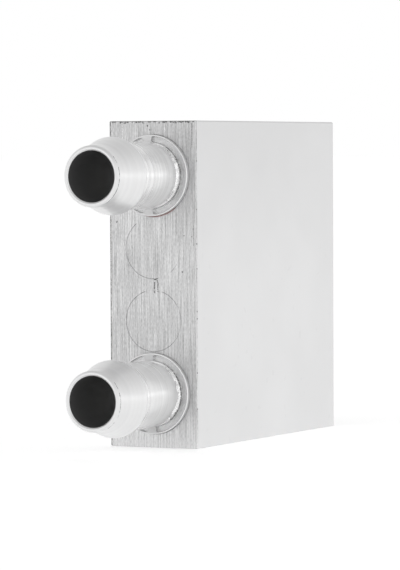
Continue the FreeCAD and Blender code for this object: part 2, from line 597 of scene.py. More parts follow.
@dataclass(frozen=True)
class FinishSet:
    """Every finish of the block, built once."""

    brushed: Material
    matt: Material
    turned: Material
    neck: Material
    faced: Material
    staked: Material
    bore: Material
    torn_and_painted_shade: Material
    scored: Material
    curled: Material
    compound: Material

    @classmethod
    def build(cls) -> "FinishSet":
        """Build the shared groups and then each material.

        Returns:
            The set.
        """
        effects = SharedEffects.build()
        whole = (0.0, 1.0)
        red_brown, thin_brown = (0.24, 0.12, 0.115, 1.0), (0.54, 0.38, 0.37, 1.0)
        finishes = {
            "brushed": BrushedAluminium(effects),
            "matt": MattAluminium(effects),
            "turned": TurnedAluminium(effects),
            "neck": TurnedAluminium(effects, "ringed_aluminium", grey(0.82), grey(0.99), (0.30, 0.17), 0.4,
                                    relief=0.065 * MM, pitch=0.42 * MM),
            "faced": TurnedAluminium(effects, "faced_aluminium", grey(0.58), grey(0.74), pitch=0.3 * MM),
            # Staked grain on the recess floors, with painted light: the floors are painted lighter than the
            # face to offset the shade in the recesses.
            "staked": GrainedSkin(effects, "staked_aluminium_painted_light", grey(0.72), grey(0.96), (0.45, 0.6), 0.6,
                                  relief=0.02 * MM, grain=0.3 * MM, contrast=whole),
            # The bore finish is painted shade: near-black at the channels' mouths.
            "bore": ShadedBore(effects),
            # Ragged and dented metal is real, but its near-black colour is painted shade.
            "torn_and_painted_shade": GrainedSkin(effects, "torn_edge_painted_shade", grey(0.10, 0.0), grey(0.55, 0.0)),
            "scored": GrainedSkin(effects, "scored_aluminium", grey(0.20, 0.0), grey(0.62, 0.0)),
            "curled": GrainedSkin(effects, "curled_edge", grey(0.48, 0.0), grey(0.97, 0.0), (0.22, 0.34), 0.7,
                                  contrast=(0.24, 0.36)),
            "compound": GrainedSkin(effects, "retaining_compound", red_brown, thin_brown, (0.35, 0.5), 0.0,
                                    grain=0.5 * MM, contrast=whole),
        }
        return cls(**{place: finish.material() for place, finish in finishes.items()})

    def pick(self, skins: type[IntEnum]) -> tuple[Material, ...]:
        """The finishes that a set of places names, in its order."""
        return tuple(getattr(self, skin.name.lower()) for skin in skins)


# ---------------------------------------------------------------- mesh helpers


def mesh_of(build: BMesh, name: str, sharp_angle: float | None = None) -> Mesh:
    """Turn a build into a mesh and free it.

    Args:
        build: what was built.
        name: the mesh's name.
        sharp_angle: where given, the faces are turned outwards and shaded with edges sharp above it.

    Returns:
        The mesh.
    """
    mesh = bpy.data.meshes.new(name)
    if sharp_angle is not None:
        bmesh.ops.recalc_face_normals(build, faces=build.faces)
    build.to_mesh(mesh)
    build.free()
    if sharp_angle is not None:
        sharpen(mesh, sharp_angle)
    return mesh


def skin_sections(build: BMesh, sections: Sequence[Sequence[BMVert]]) -> None:
    """Skin a row of cross-sections into one closed bar, with a cap at each end.

    Args:
        build: the build that holds the vertices.
        sections: the vertices of each cross-section, in order.
    """
    for first, second in zip(sections, sections[1:]):
        for side, corner in enumerate(first):
            after = (side + 1) % len(first)
            build.faces.new((corner, first[after], second[after], second[side]))
    build.faces.new(sections[0])
    build.faces.new(reversed(sections[-1]))


def linked_object(name: str, data: bpy.types.ID) -> Object:
    """Put a mesh, lamp or camera into the scene.

    Args:
        name: the object's name.
        data: what it shows.

    Returns:
        The new object.
    """
    made = bpy.data.objects.new(name, data)
    bpy.context.scene.collection.objects.link(made)
    return made


def new_piece(name: str, mesh: Mesh, finishes: Iterable[Material]) -> Object:
    """Make a shown piece that rides on the part.

    Args:
        name: the piece's name.
        mesh: its mesh, in the part's frame.
        finishes: its materials, in the order of the faces' indices.

    Returns:
        The new object.
    """
    for finish in finishes:
        mesh.materials.append(finish)
    piece = linked_object(name, mesh)
    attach(piece, "root")
    return piece


def rounded_outline(corners: Sequence[tuple[float, float, float]], steps: int = 7) -> list[Vector]:
    """Points of a closed outline whose corners may be rounded.

    Args:
        corners: (first, second, rounding) of each corner.
        steps: points on each rounding.

    Returns:
        The outline's points as 2-D vectors.
    """
    places = [Vector(corner[:2]) for corner in corners]
    points = []
    for index, (_, _, rounding) in enumerate(corners):
        corner = places[index]
        if rounding <= 0:
            points.append(corner)
            continue
        before = (places[index - 1] - corner).normalized()
        after = (places[(index + 1) % len(places)] - corner).normalized()
        half_angle = before.angle(after) / 2
        centre = corner + (before + after).normalized() * (rounding / math.sin(half_angle))
        start = corner + before * (rounding / math.tan(half_angle)) - centre
        end = corner + after * (rounding / math.tan(half_angle)) - centre
        for step in range(steps):
            share = step / (steps - 1)
            direction = start.normalized().slerp(end.normalized(), share)
            points.append(centre + direction * rounding)
    return points


def sharpen(mesh: Mesh, degrees: float, flat: float = 0.999999) -> None:
    """Shade curved faces smooth, flat faces flat, with sharp edges where faces meet at more than an angle.

    Args:
        mesh: the mesh to shade.
        degrees: the angle.
        flat: least share of a face's normal that lies along one axis for the face to be flat.
    """
    mesh.shade_smooth()
    mesh.set_sharp_from_angle(angle=math.radians(degrees))
    for face in mesh.polygons:
        if max(abs(part) for part in face.normal) > flat:
            face.use_smooth = False


def speckle(place: Vector, size: float) -> float:
    """Smooth random value from about -1 to 1 at a place, with features of a given size."""
    return noise.noise(place / size)


# ---------------------------------------------------------------- ragged metal


EDGE_STEP = 0.05 * MM
GAP_SHIFT = Vector((0.71, 0.37, 0.13))
SLOW_SHIFT = Vector((0.31, 0.17, 0.53))


@dataclass(frozen=True)
class EdgeStation:
    """One place on an edge: across runs over the ragged strip, and outward points away from the metal."""

    place: Vector
    across: Vector
    outward: Vector


def straight_edge(start: Vector, end: Vector, across: Vector, outward: Vector) -> list[EdgeStation]:
    """Stations along a straight edge, in order."""
    count = int((end - start).length / EDGE_STEP)
    return [EdgeStation(start.lerp(end, index / count), across, outward) for index in range(count + 1)]


def round_edge(centre: Vector, radius: float, span: tuple[float, float], on_face: bool,
               step: float = EDGE_STEP) -> list[EdgeStation]:
    """Stations along an arc about an axis along Y.

    Args:
        centre: the arc's centre.
        radius: the arc's radius.
        span: first and last angle, in degrees from +X towards +Z.
        on_face: whether the strip lies on a face that looks along -Y, and not on the round side.
        step: distance between stations.

    Returns:
        The stations in order.
    """
    first, last = (math.radians(angle) for angle in span)
    count = int(radius * abs(last - first) / step)
    stations = []
    for index in range(count + 1):
        angle = first + (last - first) * index / count
        radial = Vector((math.cos(angle), 0, math.sin(angle)))
        across, outward = (radial, FORWARD) if on_face else (FORWARD, radial)
        stations.append(EdgeStation(centre + radial * radius, across, outward))
    return stations


@dataclass(frozen=True)
class RaggedStrip:
    """Ragged metal left standing along an edge, whole or broken into dashes."""

    name: str
    stations: Sequence[EdgeStation]
    width: float
    height: float
    presence: float = 1.0
    grain: float = 0.35 * MM
    gap_spacing: float = 2.4
    slow_spacing: float = 5.0
    crest_spacing: float = 0.6
    least_height: float = 0.12
    mean_height: float = 0.55
    height_gains: tuple[float, float] = (0.6, 0.35)
    least_width: float = 0.25
    mean_width: float = 0.75
    width_gains: tuple[float, float] = (0.35, 0.45)
    crest_place: float = 0.4
    crest_sway: float = 0.25
    inner_flank: tuple[float, float] = (0.15, 0.6)
    outer_flank: tuple[float, float] = (0.75, 0.35)
    root_sunk: float = 0.01 * MM

    def mesh(self) -> Mesh:
        """Skin each unbroken run of stations.

        Returns:
            The strip's mesh.
        """
        build = bmesh.new()
        runs: list[list[list[BMVert]]] = [[]]
        for station in self.stations:
            if self._is_bare(station):
                runs.append([])
            else:
                runs[-1].append(self._section(build, station))
        for run in runs:
            if len(run) > 1:
                skin_sections(build, run)
        loose = [vert for vert in build.verts if not vert.link_faces]
        bmesh.ops.delete(build, geom=loose, context="VERTS")
        return mesh_of(build, self.name, sharp_angle=20)

    def _is_bare(self, station: EdgeStation) -> bool:
        """Whether the edge is clean at a station.

        Args:
            station: the place on the edge.

        Returns:
            True inside a gap of the strip.
        """
        if self.presence >= 1.0:
            return False
        level = 0.5 + 0.5 * speckle(station.place + GAP_SHIFT, self.grain * self.gap_spacing)
        return level > self.presence

    def _section(self, build: BMesh, station: EdgeStation) -> list[BMVert]:
        """The strip's five-cornered cross-section at a station.

        Args:
            build: the build that takes the corners.
            station: the place on the edge.

        Returns:
            The corners in order, from one foot over the crest to the other.
        """
        place, across, outward = station.place, station.across, station.outward
        rough = speckle(place, self.grain)
        slow = speckle(place + SLOW_SHIFT, self.grain * self.slow_spacing)
        (tall_rough, tall_slow), (broad_rough, broad_slow) = self.height_gains, self.width_gains
        tall = self.height * max(self.least_height, self.mean_height + tall_rough * rough + tall_slow * slow)
        broad = self.width * max(self.least_width, self.mean_width + broad_slow * slow + broad_rough * rough)
        sway = self.crest_sway * speckle(place, self.grain * self.crest_spacing)
        crest = broad * (self.crest_place + sway)
        root = outward * -self.root_sunk
        corners = (
            root,
            across * self.inner_flank[0] * broad + outward * tall * self.inner_flank[1],
            across * crest + outward * tall,
            across * self.outer_flank[0] * broad + outward * tall * self.outer_flank[1],
            across * broad + root,
        )
        return [build.verts.new(place + corner) for corner in corners]


@dataclass
class OnSolid:
    """Something that takes its place from one solid of the part."""

    node: str
    finishes: FinishSet
    low: Vector = field(init=False)
    high: Vector = field(init=False)

    def __post_init__(self) -> None:
        """Take the solid's place."""
        self.low, self.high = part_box(self.node)


# ---------------------------------------------------------------- nozzles


@dataclass
class HoseNozzle(OnSolid):
    """A turned hose nozzle with a soft barb and a flange staked by two C-shaped recesses."""

    upper_lean: float = 0.0
    lower_lean: float = 0.0
    compound_span: tuple[float, float] | None = None
    curl_span: tuple[float, float] = (-58.0, 62.0)
    lap_cut: tuple[float, float] = (9.0, 14.0)
    fringe_cut: float = 4.0
    burr_span: tuple[float, float] = (-58.0, 40.0)
    segments: int = 288
    bore_radius: float = 3.1 * MM
    tip_radius: float = 3.7 * MM
    tip_round: float = 0.42 * MM
    tip_chamfer: float = 0.15 * MM
    tip_length: float = 1.6 * MM
    flare_round: float = 4.0 * MM
    ridge_radius: float = 4.75 * MM
    ridge_reach: float = 10.7 * MM
    ridge_back: float = 1.1 * MM
    ridge_round: float = 0.7 * MM
    foot_round: float = 0.45 * MM
    neck_radius: float = 4.1 * MM
    undercut_radius: float = 3.7 * MM
    undercut_slope: float = 0.5 * MM
    undercut_length: float = 0.85 * MM
    shoulder_round: float = 0.3 * MM
    undercut_round: float = 0.2 * MM
    base_round: float = 0.28 * MM
    flange_proud: float = 0.6 * MM
    flange_round: float = 0.12 * MM
    seat_depth: float = 1.0 * MM
    spigot_radius: float = 3.8 * MM
    spigot_chamfer: float = 0.3 * MM
    recess_inner: float = 4.05 * MM
    recess_outer: float = 4.75 * MM
    recess_depth: float = 0.45 * MM
    recess_wall: float = 0.07 * MM
    bridge_half_angle: float = 8.0
    wall_wave: float = 0.018 * MM
    wall_wave_length: float = 0.45 * MM
    floor_wave: float = 0.02 * MM
    floor_wave_length: float = 0.5 * MM
    on_recess_floor: float = 0.6
    ring_step: float = 0.03 * MM
    foot_inset: float = 0.02 * MM
    rim_inset: float = 0.05 * MM
    tip_inset: float = 0.01 * MM

    def __post_init__(self) -> None:
        """Take the nozzle's place and its main distances from its solid."""
        super().__post_init__()
        self.end_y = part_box("block_body")[0].y
        self.axis_z = (self.low.z + self.high.z) / 2
        self.flange_radius = (self.high.x - self.low.x) / 2
        self.tip_reach = self.end_y - self.low.y
        self.spigot_reach = self.end_y - self.high.y

    def outline(self) -> list[Vector]:
        """Half-section as (reach, radius) points, closed, from the tip round to the bore's inner end.

        Returns:
            The points in order.
        """
        neck_end = self.ridge_reach - self.ridge_back
        undercut_end = self.flange_proud + self.undercut_length
        corners = [
            (self.tip_reach - self.tip_chamfer, self.bore_radius, 0),
            (self.tip_reach, self.bore_radius + self.tip_chamfer, 0),
            (self.tip_reach, self.tip_radius, self.tip_round),
            (self.tip_reach - self.tip_length, self.tip_radius, self.flare_round),
            (self.ridge_reach, self.ridge_radius, self.ridge_round),
            (neck_end, self.neck_radius, self.foot_round),
            (undercut_end + self.undercut_slope, self.neck_radius, self.shoulder_round),
            (undercut_end, self.undercut_radius, self.undercut_round),
            (self.flange_proud, self.undercut_radius, self.base_round),
            (self.flange_proud, self.flange_radius, self.flange_round),
            (-self.seat_depth, self.flange_radius, 0),
            (-self.seat_depth, self.spigot_radius, 0),
            (self.spigot_reach + self.spigot_chamfer, self.spigot_radius, 0),
            (self.spigot_reach, self.spigot_radius - self.spigot_chamfer, 0),
            (self.spigot_reach, self.bore_radius, 0),
        ]
        return self._with_fine_flange(rounded_outline(corners))

    def _is_on_face(self, point: Vector) -> bool:
        """Whether a point of the outline lies on the flange's face."""
        return abs(point.x - self.flange_proud) < SAME_PLACE

    def _with_fine_flange(self, points: list[Vector]) -> list[Vector]:
        """Add closely spaced rings across the flange's face, for the recesses.

        Args:
            points: the outline's points.

        Returns:
            The same points with the added ones between them.
        """
        refined = []
        for index, point in enumerate(points):
            refined.append(point)
            following = points[(index + 1) % len(points)]
            if self._is_on_face(point) and self._is_on_face(following) and following.y > point.y:
                count = int((following.y - point.y) / self.ring_step)
                refined += [point.lerp(following, step / count) for step in range(1, count)]
        return refined

    def recess_share(self, x: float, z: float) -> float:
        """How far a place on the flange's face lies in a recess.

        Args:
            x: sideways from the axis.
            z: upwards from the axis.

        Returns:
            0 outside both recesses, 1 on their floors.
        """
        middle = (self.recess_inner + self.recess_outer) / 2
        half_width = (self.recess_outer - self.recess_inner) / 2
        angle = math.degrees(math.atan2(z, x))
        bridges = (90 + self.upper_lean, -90 - self.lower_lean)
        turns = [(angle - bridge + 180) % 360 - 180 for bridge in bridges]
        nearest = min(range(2), key=lambda index: abs(turns[index]))
        end_turn = self.bridge_half_angle + math.degrees(half_width / middle)
        if abs(turns[nearest]) >= end_turn:
            outside = abs(math.hypot(x, z) - middle) - half_width
        else:
            end_angle = math.radians(bridges[nearest] + math.copysign(end_turn, turns[nearest]))
            end_x, end_z = middle * math.cos(end_angle), middle * math.sin(end_angle)
            outside = math.hypot(x - end_x, z - end_z) - half_width
        outside += self.wall_wave * speckle(Vector((x, self.axis_z, z)), self.wall_wave_length)
        share = min(max(0.5 - outside / self.recess_wall, 0.0), 1.0)
        return share * share * (3 - 2 * share)

    def mesh(self) -> Mesh:
        """The whole nozzle as one closed mesh.

        Returns:
            The nozzle's mesh.
        """
        outline = self.outline()
        build = bmesh.new()
        rings = [self._ring(build, point) for point in outline]
        for index, ring in enumerate(rings):
            following = rings[(index + 1) % len(rings)]
            for turn in range(self.segments):
                after = (turn + 1) % self.segments
                face = build.faces.new((ring[turn], ring[after], following[after], following[turn]))
                face.material_index = self._skin_at(face, outline[index], outline[(index + 1) % len(rings)])
        return mesh_of(build, self.node + "_turned", sharp_angle=32)

    def _ring(self, build: BMesh, point: Vector) -> list[BMVert]:
        """One ring of vertices, pressed in where it crosses a recess.

        Args:
            build: the build that takes the vertices.
            point: the (reach, radius) point of the outline.

        Returns:
            The ring's vertices in order.
        """
        reach, radius = point
        ring = []
        for turn in range(self.segments):
            angle = math.tau * turn / self.segments
            x, z = radius * math.cos(angle), radius * math.sin(angle)
            sunk = 0.0
            if self._is_on_face(point):
                wave = self.floor_wave * speckle(Vector((x, 0, z)), self.floor_wave_length)
                sunk = self.recess_share(x, z) * (self.recess_depth + wave)
            ring.append(build.verts.new((x, self.end_y - reach + sunk, self.axis_z + z)))
        return ring

    def _skin_at(self, face: BMFace, first: Vector, second: Vector) -> NozzleSkin:
        """Finish of a face.

        Args:
            face: the face.
            first: the outline's point on one side of it.
            second: the outline's point on the other side.

        Returns:
            The finish's place on the nozzle.
        """
        # The bore takes the bore finish, which is painted shade.
        if max(first.y, second.y) < self.bore_radius + SAME_PLACE:
            return NozzleSkin.BORE
        if self._is_on_face(first) and self._is_on_face(second):
            centre = face.calc_center_median()
            # Recess floors take the staked finish, which carries painted light.
            sunk = self.recess_share(centre.x, centre.z - self.axis_z) > self.on_recess_floor
            return NozzleSkin.STAKED if sunk else NozzleSkin.FACED
        if min(first.y, second.y) > self.flange_radius - SAME_PLACE:
            return NozzleSkin.FACED
        if max(first.x, second.x) < self.ridge_reach - self.ridge_back + SAME_PLACE:
            return NozzleSkin.NECK
        return NozzleSkin.TURNED

    def compound_mesh(self, start: float, end: float) -> Mesh:
        """Thread of squeezed-out compound in the corner under the flange.

        Args:
            start: first angle, in degrees from +X towards +Z.
            end: last angle.

        Returns:
            The thread's mesh.
        """
        build = bmesh.new()
        count, sides = 90, 8
        thread_radius, blunt_end = 0.08 * MM, 0.05
        beyond_flange, before_end = 0.055 * MM, 0.04 * MM
        lump_gain, lump_spacing = 0.35, 0.6 * MM
        middle = Vector((0, self.end_y - before_end, self.axis_z))
        sections = []
        for step in range(count + 1):
            share = step / count
            angle = math.radians(start + (end - start) * share)
            outward = Vector((math.cos(angle), 0, math.sin(angle)))
            taper = math.sin(math.pi * share) ** 0.5 if 0 < share < 1 else blunt_end
            lumps = 1 + lump_gain * speckle(outward * self.flange_radius, lump_spacing)
            thick = thread_radius * taper * lumps
            centre = outward * (self.flange_radius + beyond_flange) + middle
            turns = [math.tau * side / sides for side in range(sides)]
            sections.append([
                build.verts.new(centre + outward * thick * math.cos(turn)
                                + Vector((0, thick * math.sin(turn), 0)))
                for turn in turns])
        skin_sections(build, sections)
        return mesh_of(build, self.node + "_compound", sharp_angle=60)

    def ragged_strips(self) -> list[tuple[RaggedStrip, Material]]:
        """Metal curled up at the neck's foot by the staking, and the thin burr round the tip's face.

        Returns:
            Each strip and its finish.
        """
        face = Vector((0, self.end_y - self.flange_proud, self.axis_z))
        tip = Vector((0, self.end_y - self.tip_reach + self.tip_round, self.axis_z))
        low, high = self.curl_span
        foot_radius = self.undercut_radius - self.foot_inset
        curl = round_edge(face, foot_radius, self.curl_span, True)
        lap = round_edge(face, foot_radius, (low + self.lap_cut[0], high - self.lap_cut[1]), False)
        fringe_span = (low + self.fringe_cut, high - self.fringe_cut)
        fringe = round_edge(face, self.recess_inner - self.rim_inset, fringe_span, True)
        burr = round_edge(tip, self.tip_radius - self.tip_inset, self.burr_span, False)
        curled, torn_and_painted_shade, node = self.finishes.curled, self.finishes.torn_and_painted_shade, self.node
        return [
            (RaggedStrip(node + "_curl", curl, 0.34 * MM, 0.27 * MM, grain=0.9 * MM), curled),
            (RaggedStrip(node + "_lap", lap, 0.45 * MM, 0.2 * MM, 0.8, 0.8 * MM), curled),
            # The fringe and the tip burr are ragged metal painted near-black: painted shade along the recess
            # wall and the tip's edge.
            (RaggedStrip(node + "_fringe", fringe, 0.14 * MM, 0.12 * MM, 0.75, 0.25 * MM), torn_and_painted_shade),
            (RaggedStrip(node + "_tip_burr", burr, 0.13 * MM, 0.03 * MM, 0.7), torn_and_painted_shade),
        ]

    def make(self) -> list[Object]:
        """Build and dress the nozzle in place of its solid.

        Returns:
            The new pieces.
        """
        turned = new_piece(self.node + "_turned", self.mesh(), self.finishes.pick(NozzleSkin))
        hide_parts(self.node)
        pieces = [turned]
        for strip, finish in self.ragged_strips():
            pieces.append(new_piece(strip.name, strip.mesh(), (finish,)))
        if self.compound_span:
            thread = self.compound_mesh(*self.compound_span)
            pieces.append(new_piece(self.node + "_compound", thread, (self.finishes.compound,)))
        return pieces


# ---------------------------------------------------------------- block and plugs


FRONT, REAR, RIGHT, LEFT = (0, -1, 0), (0, 1, 0), (1, 0, 0), (-1, 0, 0)
CORNER = (math.sqrt(0.5), -math.sqrt(0.5), 0.0)


@dataclass(frozen=True)
class Pit:
    """A small dent in a flat face, given by its centre, its outward normal and its size."""

    centre: tuple[float, float, float]
    normal: tuple[float, float, float]
    radius: float
    depth: float
    # By default the dent is painted near-black: painted shade in the dent.
    finish: BlockSkin = BlockSkin.TORN_AND_PAINTED_SHADE
    lump_gain: float = 0.22
    lump_size: float = 0.9
    noise_spread: float = 7.3
    outer_reach: float = 1.3
    least_sunk: float = 0.03

    def cut_into(self, build: BMesh) -> None:
        """Add the dent's cutter, a lumpy flattened ball sunk halfway into the face.

        Args:
            build: the mesh that collects the cutters.
        """
        normal = Vector(self.normal)
        centre = Vector(self.centre)
        ball = bmesh.ops.create_icosphere(build, subdivisions=3, radius=self.radius)
        for vert in ball["verts"]:
            noise_place = vert.co + centre * self.noise_spread
            lump = 1 + self.lump_gain * speckle(noise_place, self.radius * self.lump_size)
            flattened = vert.co - normal * vert.co.dot(normal) * (1 - self.depth / self.radius)
            vert.co = centre + flattened * lump

    def holds(self, place: Vector) -> bool:
        """Whether a place on the dented mesh lies inside the dent.

        Args:
            place: the place, in the part's frame.

        Returns:
            True inside the dent.
        """
        offset = place - Vector(self.centre)
        sunk = -offset.dot(Vector(self.normal))
        return offset.length < self.radius * self.outer_reach and sunk > self.depth * self.least_sunk


@dataclass(frozen=True)
class Scratch:
    """A narrow groove pressed into the front face along a bent line of (x, z) places."""

    line: tuple[tuple[float, float], ...]
    width: float
    depth: float
    face_y: float
    finish: BlockSkin = BlockSkin.SCORED
    clear: float = 0.02 * MM
    waver: float = 0.3
    waver_length: float = 0.25 * MM
    outer_reach: float = 1.5
    least_sunk: float = 0.02
    line_steps: int = 6

    def cut_into(self, build: BMesh) -> None:
        """Add the groove's cutter, a blade that follows the line.

        Args:
            build: the mesh that collects the cutters.
        """
        places = [Vector(place) for place in self.line]
        sections = []
        for index, place in enumerate(places):
            ahead = places[min(index + 1, len(places) - 1)] - places[max(index - 1, 0)]
            aside = Vector((-ahead.y, ahead.x)).normalized()
            wave = speckle(Vector((place.x, 0, place.y)), self.waver_length)
            half = self.width / 2 * (1 + self.waver * wave)
            left, right = place + aside * half, place - aside * half
            sections.append([
                build.verts.new((left.x, self.face_y - self.clear, left.y)),
                build.verts.new((place.x, self.face_y + self.depth, place.y)),
                build.verts.new((right.x, self.face_y - self.clear, right.y)),
            ])
        skin_sections(build, sections)

    def holds(self, place: Vector) -> bool:
        """Whether a place on the cut mesh lies inside the groove.

        Args:
            place: the place, in the part's frame.

        Returns:
            True inside the groove.
        """
        sunk = place.y - self.face_y
        if sunk < self.least_sunk * self.depth or sunk > self.depth * self.outer_reach:
            return False
        flat = Vector((place.x, place.z))
        return any((flat - point).length < self.width * self.outer_reach for point in self._dense_line())

    def _dense_line(self) -> list[Vector]:
        """The line's places with more between them."""
        return [Vector(first).lerp(Vector(second), step / self.line_steps)
                for first, second in zip(self.line, self.line[1:]) for step in range(self.line_steps + 1)]


@dataclass
class MarkedSolid(OnSolid):
    """A visible copy of a solid with dents and scratches cut into it."""

    slot: Slot
    marks: Sequence[Pit | Scratch]
    weld_distance: float = 0.001 * MM
    edge_margin: float = 0.25 * MM
    least_facing: float = 0.6

    def make(self) -> Object:
        """Build the marked copy in place of the solid.

        Returns:
            The marked piece.
        """
        plain = linked_object(self.node + "_plain", self._welded_copy())
        cutter = self._cutter()
        cut = plain.modifiers.new("marks", "BOOLEAN")
        cut.operation = "DIFFERENCE"
        cut.solver = "EXACT"
        cut.object = cutter
        bpy.context.view_layer.update()
        evaluated = plain.evaluated_get(bpy.context.evaluated_depsgraph_get())
        marked = bpy.data.meshes.new_from_object(evaluated)
        marked.name = self.node + "_marked"
        marked.materials.clear()
        bpy.data.objects.remove(plain)
        bpy.data.objects.remove(cutter)
        self._sort_finishes(marked)
        sharpen(marked, degrees=25)
        piece = new_piece(self.node + "_marked", marked, self.finishes.pick(BlockSkin))
        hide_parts(self.node)
        return piece

    def _welded_copy(self) -> Mesh:
        """The solid's mesh with its split edges joined again.

        Returns:
            The welded mesh.
        """
        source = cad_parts[self.node]
        build = bmesh.new()
        build.from_mesh(source.data)
        bmesh.ops.remove_doubles(build, verts=build.verts, dist=self.weld_distance)
        return mesh_of(build, self.node + "_welded")

    def _cutter(self) -> Object:
        """One object that holds the cutter of every mark.

        Returns:
            The cutter, which goes again after the cut.
        """
        build = bmesh.new()
        for mark in self.marks:
            mark.cut_into(build)
        bmesh.ops.recalc_face_normals(build, faces=build.faces)
        return linked_object(self.node + "_cutter", mesh_of(build, self.node + "_cutter"))

    def _sort_finishes(self, mesh: Mesh) -> None:
        """Give each face its finish by where it lies and which way it looks.

        Args:
            mesh: the marked mesh.
        """
        for face in mesh.polygons:
            holding = [mark.finish for mark in self.marks if mark.holds(face.center)]
            if holding:
                face.material_index = holding[0]
            # Channel, pocket and seat skins take the bore finish, which is painted shade.
            elif self._is_inside(face.center):
                face.material_index = BlockSkin.BORE
            else:
                looks_along = abs(face.normal.y) > self.least_facing
                face.material_index = BlockSkin.BRUSHED if looks_along else BlockSkin.MATT

    def _is_inside(self, place: Vector) -> bool:
        """Whether a place lies deeper than any edge rounding reaches.

        Args:
            place: the place, in the part's frame.

        Returns:
            True on the skin of a channel, a pocket or a seat.
        """
        inner_low = self.low + Vector((self.edge_margin,) * 3)
        inner_high = self.high - Vector((self.edge_margin,) * 3)
        return all(inner_low[axis] < place[axis] < inner_high[axis] for axis in range(3))


@dataclass
class ChannelBlock(OnSolid):
    """The bar with its channels, its end plugs and what machining and handling left on them."""

    nick_heights: tuple[float, ...] = (35.1, 29.2, 25.0, 22.0, 16.8, 15.9, 9.3, 4.9)
    nick_places: tuple[float, ...] = (-4.45, -3.9, -1.3, 0.9, 2.95, 3.2, 4.95)
    seam_inset: float = 0.08 * MM
    seam_step: float = 0.06 * MM

    @staticmethod
    def _pit(place: Sequence[float], normal: Sequence[float], radius: float, depth: float,
             finish: BlockSkin = BlockSkin.TORN_AND_PAINTED_SHADE) -> Pit:
        """A dent whose sizes are given in millimetres."""
        return Pit(tuple(part * MM for part in place), normal, radius * MM, depth * MM, finish)

    def pits(self) -> list[Pit]:
        """The dents of the bar.

        Returns:
            The dents, in the order in which they are cut.
        """
        front, rear, right, left = (side / MM for side in (self.low.y, self.high.y, self.high.x, self.low.x))
        on_front = ((-5.0, 27.66, 0.13, 0.07), (4.0, 21.6, 0.12, 0.06), (4.22, 26.0, 0.07, 0.04),
                    (5.3, 25.9, 0.07, 0.04), (-0.7, 39.4, 0.11, 0.05), (-0.4, 38.9, 0.07, 0.04))
        nick_inset, nick_radius, nick_depth, nick_top = 0.04, 0.09, 0.05, 39.76
        # The front and rear dents and the edge nicks are painted near-black: painted shade.
        return [
            *(self._pit((x, front, z), FRONT, radius, depth) for x, z, radius, depth in on_front),
            self._pit((right, -8.9, 29.9), RIGHT, 0.14, 0.012, BlockSkin.MATT),
            self._pit((right, 7.3, 11.8), RIGHT, 0.11, 0.012, BlockSkin.MATT),
            self._pit((left, 4.6, 26.1), LEFT, 0.16, 0.03, BlockSkin.MATT),
            self._pit((2.4, rear, 20.4), REAR, 0.11, 0.05),
            *(self._pit((right - nick_inset, front + nick_inset, height), CORNER, nick_radius, nick_depth)
              for height in self.nick_heights),
            *(self._pit((place, front, nick_top), FRONT, nick_radius, nick_depth)
              for place in self.nick_places),
        ]

    def _scratch(self, line: Sequence[tuple[float, float]], width: float, depth: float,
                 finish: BlockSkin = BlockSkin.SCORED) -> Scratch:
        """A groove in the front end whose places and sizes are given in millimetres."""
        places = tuple((x * MM, z * MM) for x, z in line)
        return Scratch(places, width * MM, depth * MM, self.low.y, finish)

    def hooked_scratches(self) -> list[Scratch]:
        """The hooked double scratch between the two front plugs.

        Returns:
            Both strokes of the scratch.
        """
        straight = ((0.17, 18.95), (0.13, 19.4), (0.16, 19.9), (0.20, 20.33))
        hooked = ((0.63, 19.1), (0.60, 19.6), (0.65, 20.1), (0.58, 20.48), (0.36, 20.64), (0.12, 20.58))
        return [self._scratch(straight, 0.19, 0.09), self._scratch(hooked, 0.14, 0.10)]

    def upright_scratches(self) -> list[Scratch]:
        """Single deeper strokes that the brushing left on the front end.

        Returns:
            The strokes.
        """
        return [
            self._scratch(((1.60, 39.7), (1.61, 39.1), (1.60, 38.5)), 0.10, 0.03, BlockSkin.CURLED),
            self._scratch(((-4.20, 39.6), (-4.21, 38.7), (-4.19, 37.8)), 0.09, 0.03, BlockSkin.CURLED),
            self._scratch(((5.36, 39.7), (5.37, 38.2), (5.36, 36.7)), 0.13, 0.04),
            self._scratch(((5.52, 27.3), (5.50, 26.0), (5.51, 24.8)), 0.08, 0.03),
        ]

    def _seam(self, node: str, span: tuple[float, float]) -> list[EdgeStation]:
        """Stations round part of a front plug's seam, just inside it.

        Args:
            node: the plug's name.
            span: first and last angle, in degrees from +X towards +Z.

        Returns:
            The stations in order.
        """
        low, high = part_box(node)
        centre = Vector(((low.x + high.x) / 2, low.y, (low.z + high.z) / 2))
        return round_edge(centre, (high.x - low.x) / 2 - self.seam_inset, span, True, self.seam_step)

    def make(self) -> list[Object]:
        """Build the marked bar and plugs with the smears over their seams, and dress the other plugs.

        Returns:
            The new pieces.
        """
        marks = [*self.pits(), *self.hooked_scratches(), *self.upright_scratches()]
        pieces = [MarkedSolid(self.node, self.finishes, Slot.BAR, marks).make()]
        for node in ("front_plug_2", "front_plug_3"):
            pieces.append(MarkedSolid(node, self.finishes, Slot.BRUSHED, self.hooked_scratches()).make())
        for name, node, span, presence in (("seam_smear_upper", "front_plug_3", (-80.0, 128.0), 0.72),
                                           ("seam_smear_lower", "front_plug_2", (72.0, 108.0), 1.0)):
            smear = RaggedStrip(name, self._seam(node, span), 0.20 * MM, 0.006 * MM, presence, 0.5 * MM)
            pieces.append(new_piece(name, smear.mesh(), (self.finishes.brushed,)))
        for number in range(1, 5):
            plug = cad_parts[f"rear_plug_{number}"]
            plug.data.materials.clear()
            plug.data.materials.append(self.finishes.brushed)
        return pieces


